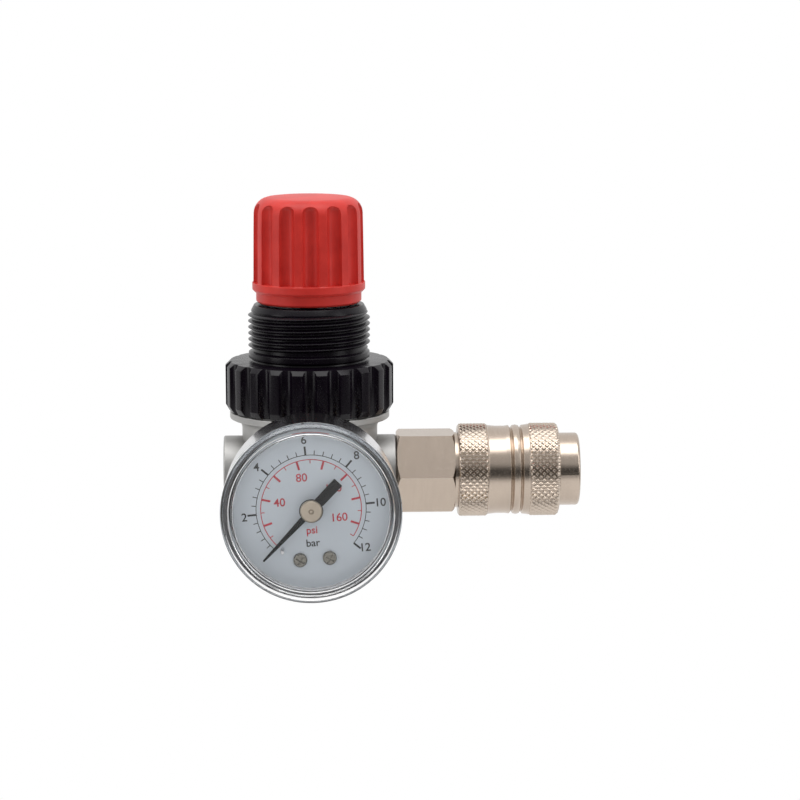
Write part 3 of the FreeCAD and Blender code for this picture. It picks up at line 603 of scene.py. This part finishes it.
# Directions behind the part show the white backdrop.
behind = tree.nodes.new("ShaderNodeMapRange")
behind.inputs["From Min"].default_value = -0.05
behind.inputs["From Max"].default_value = 0.35
tree.links.new(split.outputs["Y"], behind.inputs["Value"])
backdrop = tree.nodes.new("ShaderNodeMix")
backdrop.data_type = "RGBA"
tree.links.new(behind.outputs["Result"], backdrop.inputs["Factor"])
COLOUR_A, COLOUR_B, COLOUR_OUT = 6, 7, 2     # the Mix node's colour sockets
tree.links.new(sky.outputs["Color"], backdrop.inputs[COLOUR_A])
backdrop.inputs[COLOUR_B].default_value = (1.0, 1.0, 1.0, 1.0)
studio = tree.nodes.new("ShaderNodeBackground")
tree.links.new(backdrop.outputs[COLOUR_OUT], studio.inputs["Color"])
studio.inputs["Strength"].default_value = 0.9
white = tree.nodes.new("ShaderNodeBackground")
white.inputs["Color"].default_value = (1, 1, 1, 1)
white.inputs["Strength"].default_value = 1.0
path = tree.nodes.new("ShaderNodeLightPath")
either = tree.nodes.new("ShaderNodeMath")
either.operation = "MAXIMUM"
tree.links.new(path.outputs["Is Camera Ray"], either.inputs[0])
tree.links.new(path.outputs["Is Transmission Ray"], either.inputs[1])
mix = tree.nodes.new("ShaderNodeMixShader")
tree.links.new(either.outputs[0], mix.inputs["Fac"])
tree.links.new(studio.outputs[0], mix.inputs[1])
tree.links.new(white.outputs[0], mix.inputs[2])
tree.links.new(mix.outputs[0], out.inputs["Surface"])


# A pale floor well under the part, white to the camera like the backdrop.
floor_mesh = bmesh.new()
bmesh.ops.create_grid(floor_mesh, x_segments=1, y_segments=1, size=0.35)
floor = finish_mesh("floor", floor_mesh)
floor.location = (0.04, 0.0, -0.12)
paint = bpy.data.materials.new("floor_paint")
paint.use_nodes = True
tree = paint.node_tree
tree.nodes.clear()
out = tree.nodes.new("ShaderNodeOutputMaterial")
matt = tree.nodes.new("ShaderNodeBsdfDiffuse")
matt.inputs["Color"].default_value = (0.8, 0.8, 0.8, 1.0)
glow = tree.nodes.new("ShaderNodeEmission")
glow.inputs["Color"].default_value = (1.0, 1.0, 1.0, 1.0)
glow.inputs["Strength"].default_value = 1.0
path = tree.nodes.new("ShaderNodeLightPath")
either = tree.nodes.new("ShaderNodeMath")
either.operation = "MAXIMUM"
tree.links.new(path.outputs["Is Camera Ray"], either.inputs[0])
tree.links.new(path.outputs["Is Transmission Ray"], either.inputs[1])
lit = tree.nodes.new("ShaderNodeMixShader")
tree.links.new(either.outputs[0], lit.inputs["Fac"])
tree.links.new(matt.outputs[0], lit.inputs[1])
tree.links.new(glow.outputs[0], lit.inputs[2])
# From underneath the floor is clear, so that it hides nothing.
side = tree.nodes.new("ShaderNodeNewGeometry")
clear_below = tree.nodes.new("ShaderNodeBsdfTransparent")
both = tree.nodes.new("ShaderNodeMixShader")
tree.links.new(side.outputs["Backfacing"], both.inputs["Fac"])
tree.links.new(lit.outputs[0], both.inputs[1])
tree.links.new(clear_below.outputs[0], both.inputs[2])
tree.links.new(both.outputs[0], out.inputs["Surface"])
floor.data.materials.append(paint)


def lamp(name, size, power, at, aim):
    light = bpy.data.lights.new(name, "AREA")
    light.shape = "RECTANGLE"
    light.size, light.size_y = size
    light.energy = power
    obj = bpy.data.objects.new(name, light)
    scene.collection.objects.link(obj)
    obj.location = at
    obj.rotation_euler = (Vector(aim) - Vector(at)).to_track_quat("-Z", "Y").to_euler()
    return obj


middle = (0.03, 0.0, 0.02)
lamp("top_softbox", (0.9, 0.5), 3.6, (0.0, -0.12, 0.75), middle)
lamp("left_softbox", (0.35, 0.7), 1.7, (-0.75, -0.35, 0.25), middle)
lamp("right_softbox", (0.35, 0.7), 1.7, (0.8, -0.35, 0.3), middle)

camera = bpy.data.cameras.new("camera")
camera.lens = 131.1
camera.sensor_width = 36.0
view = bpy.data.objects.new("camera", camera)
scene.collection.objects.link(view)
view.matrix_world = Matrix.Translation((AXIS_X - 2.0 * MM, -712.0 * MM, 132.8 * MM)) \
    @ Matrix.Rotation(math.radians(-1.96), 4, "Z") \
    @ Matrix.Rotation(math.radians(90 - 9.18), 4, "X") \
    @ Matrix.Rotation(math.radians(-0.17), 4, "Z")
scene.camera = view
